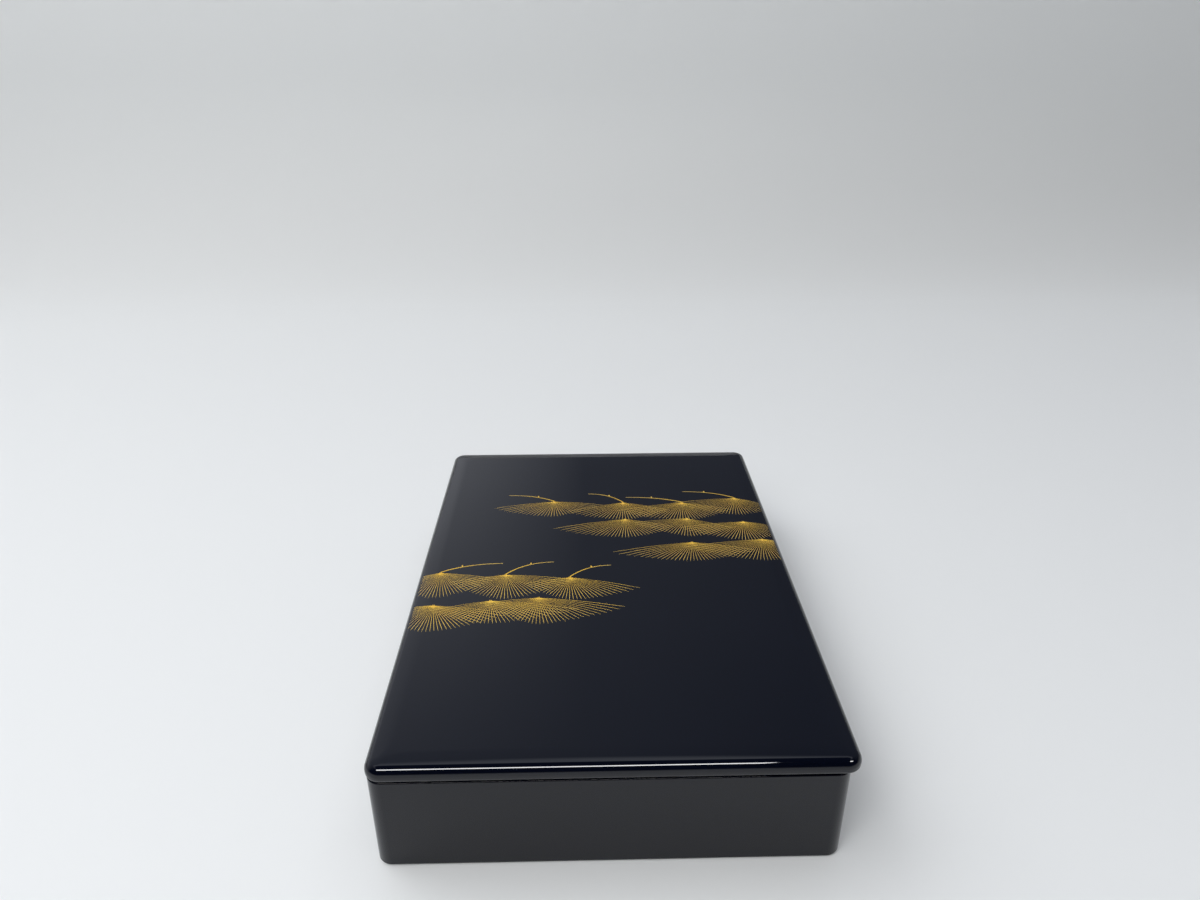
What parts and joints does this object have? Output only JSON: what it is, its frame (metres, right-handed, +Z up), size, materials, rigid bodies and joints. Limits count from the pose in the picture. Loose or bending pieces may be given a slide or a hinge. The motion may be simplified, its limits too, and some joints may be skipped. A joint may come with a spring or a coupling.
{
  "type": "lacquer letter box",
  "caption": "Low rectangular letter box with rounded corners: an open tray under a flat overhanging lid that lifts off, for letters, papers and writing things.",
  "frame": {"origin": "middle of the bounding box's underside, on the surface the box stands on, below the middle of the lid", "axes": "+Z up; Y along the long sides, with the front end at -Y; +X to the right as seen from the front"},
  "size_m": [0.255, 0.3626, 0.0712],
  "materials": {
    "box": "gloss",
    "lid": "gloss"
  },
  "bodies": {
    "root": {"box": "box", "lid": "lid"}
  },
  "joints": []
}
